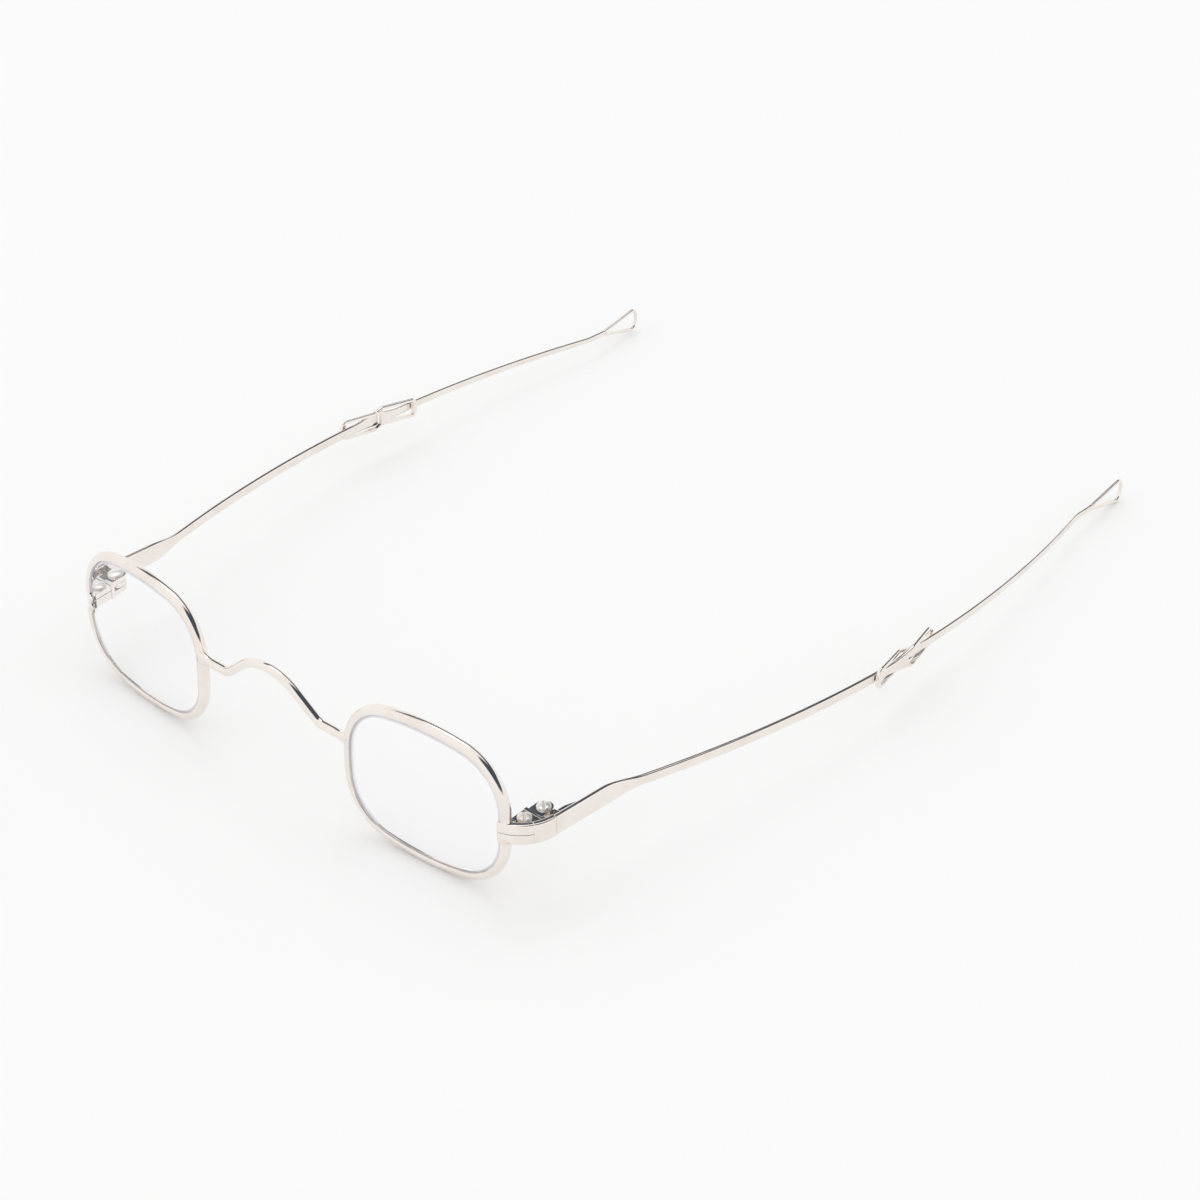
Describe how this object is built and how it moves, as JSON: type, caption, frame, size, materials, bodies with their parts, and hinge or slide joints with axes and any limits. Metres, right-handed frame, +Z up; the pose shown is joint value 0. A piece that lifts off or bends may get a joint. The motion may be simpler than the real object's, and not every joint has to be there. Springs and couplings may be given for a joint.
{
  "type": "reading glasses",
  "caption": "Reading glasses with small rounded rims, an arched wire bridge and bowed two-part temples that slide to length and end in open wire loops.",
  "frame": {"origin": "centre of the bounding box on the table plane under the rims and the tip loops", "axes": "+Z up; -Y is the wearer's forward side, where the lenses are; +X is the wearer's left; the temples run back along +Y"},
  "size_m": [0.1259, 0.1625, 0.026],
  "materials": {
    "frame": "polished pale metal",
    "strips": "polished pale metal strip and wire",
    "screws": "turned and slotted",
    "lens": "clear and polished"
  },
  "bodies": {
    "front": {"rim_left": "frame", "rim_right": "frame", "lens_left": "lens", "lens_right": "lens", "bridge": "frame", "endpiece_left": "frame", "endpiece_right": "frame", "closing_block_upper_left": "frame", "closing_block_lower_left": "frame", "closing_block_upper_right": "frame", "closing_block_lower_right": "frame", "closing_screw_left": "screws", "closing_screw_right": "screws", "hinge_screw_left": "screws", "hinge_screw_right": "screws", "hinge_leaf_front_left": "frame", "hinge_leaf_front_right": "frame"},
    "left_temple": {"temple_front_left": "strips", "hinge_leaf_temple_left": "strips"},
    "left_slider": {"temple_rear_left": "strips", "tip_loop_left": "strips"},
    "right_temple": {"temple_front_right": "strips", "hinge_leaf_temple_right": "strips"},
    "right_slider": {"temple_rear_right": "strips", "tip_loop_right": "strips"}
  },
  "joints": [
    {"name": "fold_left", "type": "hinge", "parent": "front", "child": "left_temple", "pos_m": [0.04866, -0.07075, 0.01279], "axis": [-0.0349, 0, 0.9994], "range_deg": [0, 92]},
    {"name": "fold_right", "type": "hinge", "parent": "front", "child": "right_temple", "pos_m": [-0.04866, -0.07075, 0.01279], "axis": [-0.0349, 0, -0.9994], "range_deg": [0, 84]},
    {"name": "slide_left", "type": "hinge", "parent": "left_temple", "child": "left_slider", "pos_m": [-0.18907, 0.01402, 0.00709], "axis": [-0.0007, -0.0682, -0.9977], "range_deg": [0, 10.91]},
    {"name": "slide_right", "type": "hinge", "parent": "right_temple", "child": "right_slider", "pos_m": [0.18995, 0.01153, 0.00709], "axis": [0, 0.0682, 0.9977], "range_deg": [0, 9.44]}
  ]
}
